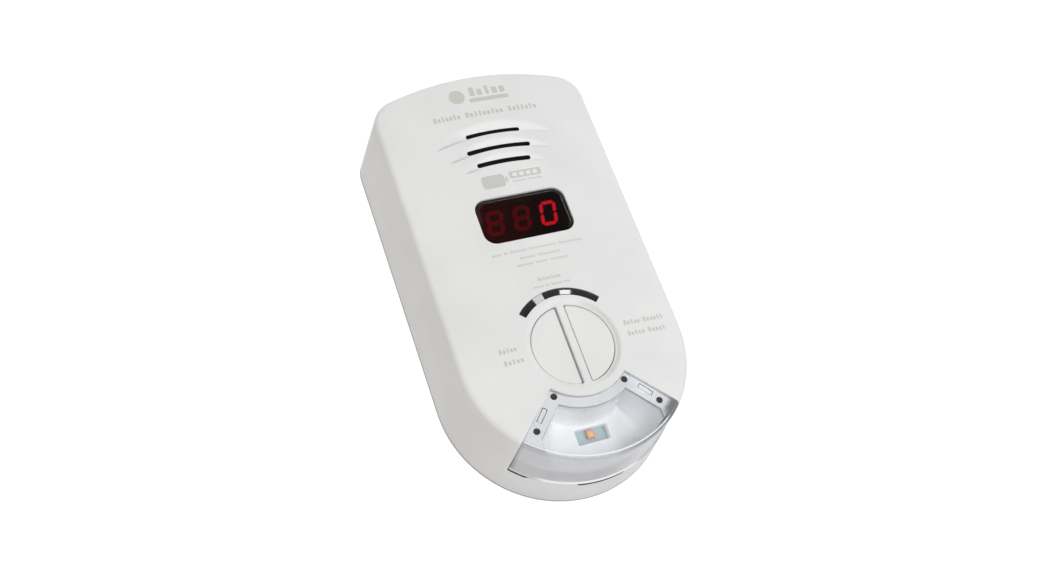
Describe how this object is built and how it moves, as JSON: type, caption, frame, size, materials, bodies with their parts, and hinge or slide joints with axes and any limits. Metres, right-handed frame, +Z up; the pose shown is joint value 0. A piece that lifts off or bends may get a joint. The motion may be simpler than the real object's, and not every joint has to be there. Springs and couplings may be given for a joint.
{
  "type": "carbon monoxide detector",
  "caption": "Plug-in carbon monoxide alarm with a digital display, arc-slot grille, split round button pair, night light lens and flat plug blades.",
  "frame": {"origin": "centre of the flat back face, which lies against the outlet", "axes": "+Z up, +Y out of the back along the plug blades, so the display faces -Y"},
  "size_m": [0.0892, 0.0567, 0.1638],
  "materials": {
    "shell": "fine moulded texture, off-white",
    "button": "satin off-white",
    "window": "polished dark red filter",
    "smoked_lens": "polished black with one clear window",
    "clear_lens": "clear polished acrylic, lightly frosted on its wall",
    "reflector": "glossy white",
    "dark_plastic": "moulded black",
    "component_black": "epoxy black",
    "circuit_board": "green solder resist",
    "led_board": "white solder resist",
    "led_phosphor": "yellow phosphor",
    "led_body": "clear epoxy",
    "screw_steel": "zinc plated",
    "blade_brass": "stamped brass",
    "nickel_spring": "nickel plated",
    "capacitor_can": "sleeved can",
    "film_yellow": "epoxy box",
    "ceramic_blue": "dipped disc",
    "fuse_sleeve": "sleeved",
    "ferrite": "matt ferrite",
    "winding_tape": "polyester tape",
    "cell_sleeve": "shrink sleeve",
    "label": "blank satin label",
    "mesh_fabric": "fine woven mesh",
    "lead_insulation": "PVC insulated"
  },
  "bodies": {
    "housing": {"front_cover": "shell", "rear_cover": "shell", "rating_label": "label", "case_screw_1": "screw_steel", "case_screw_2": "screw_steel", "case_screw_3": "screw_steel", "case_screw_4": "screw_steel", "board_screw_1": "screw_steel", "board_screw_2": "screw_steel", "board_screw_3": "screw_steel", "board_screw_4": "screw_steel", "display_window": "window", "display_module": "component_black", "status_lens": "smoked_lens", "operate_led": "led_body", "alarm_led": "led_body", "ambient_light_sensor": "component_black", "left_switch_body": "component_black", "right_switch_body": "component_black", "night_light_lens": "clear_lens", "light_tray": "reflector", "tray_pin_1": "dark_plastic", "tray_pin_2": "dark_plastic", "tray_pin_3": "dark_plastic", "tray_pin_4": "dark_plastic", "night_light_board": "led_board", "night_light_led": "led_phosphor", "night_light_lead_a": "lead_insulation", "night_light_lead_b": "lead_insulation", "main_board": "circuit_board", "microcontroller": "component_black", "board_link": "component_black", "sounder_housing": "dark_plastic", "piezo_disc": "blade_brass", "dust_mesh": "mesh_fabric", "gas_sensor_can": "nickel_spring", "gas_sensor_cap": "dark_plastic", "lithium_cell": "cell_sleeve", "cell_cradle": "dark_plastic", "cell_contact_negative": "nickel_spring", "cell_contact_positive": "nickel_spring", "battery_switch_body": "component_black", "plug_blade_left": "blade_brass", "plug_blade_right": "blade_brass", "blade_clip_left": "nickel_spring", "blade_clip_right": "nickel_spring", "power_board": "circuit_board", "transformer_core": "ferrite", "transformer_winding": "winding_tape", "smoothing_capacitor": "capacitor_can", "filter_capacitor": "capacitor_can", "film_capacitor": "film_yellow", "fuse": "fuse_sleeve", "varistor": "ceramic_blue"},
    "left_button": {"left_button": "button"},
    "right_button": {"right_button": "button"},
    "left_plunger": {"left_switch_plunger": "dark_plastic"},
    "right_plunger": {"right_switch_plunger": "dark_plastic"},
    "battery_switch": {"battery_switch_rotor": "dark_plastic"}
  },
  "joints": [
    {"name": "left_button_press", "type": "slide", "parent": "housing", "child": "left_button", "axis": [0, 1, 0], "range_m": [0, 0.0008], "stiffness_N_per_m": 2000},
    {"name": "left_plunger_press", "type": "slide", "parent": "housing", "child": "left_plunger", "axis": [0, 1, 0], "range_m": [0, 0.0008]},
    {"name": "right_button_press", "type": "slide", "parent": "housing", "child": "right_button", "axis": [0, 1, 0], "range_m": [0, 0.0008], "stiffness_N_per_m": 2000},
    {"name": "right_plunger_press", "type": "slide", "parent": "housing", "child": "right_plunger", "axis": [0, 1, 0], "range_m": [0, 0.0008]},
    {"name": "battery_switch_turn", "type": "hinge", "parent": "housing", "child": "battery_switch", "pos_m": [0, -0.0005, -0.012], "axis": [0, 1, 0], "range_deg": [0, 90]}
  ],
  "couplings": [
    {"joint": "left_plunger_press", "follows": "left_button_press", "ratio": 1},
    {"joint": "right_plunger_press", "follows": "right_button_press", "ratio": 1}
  ]
}
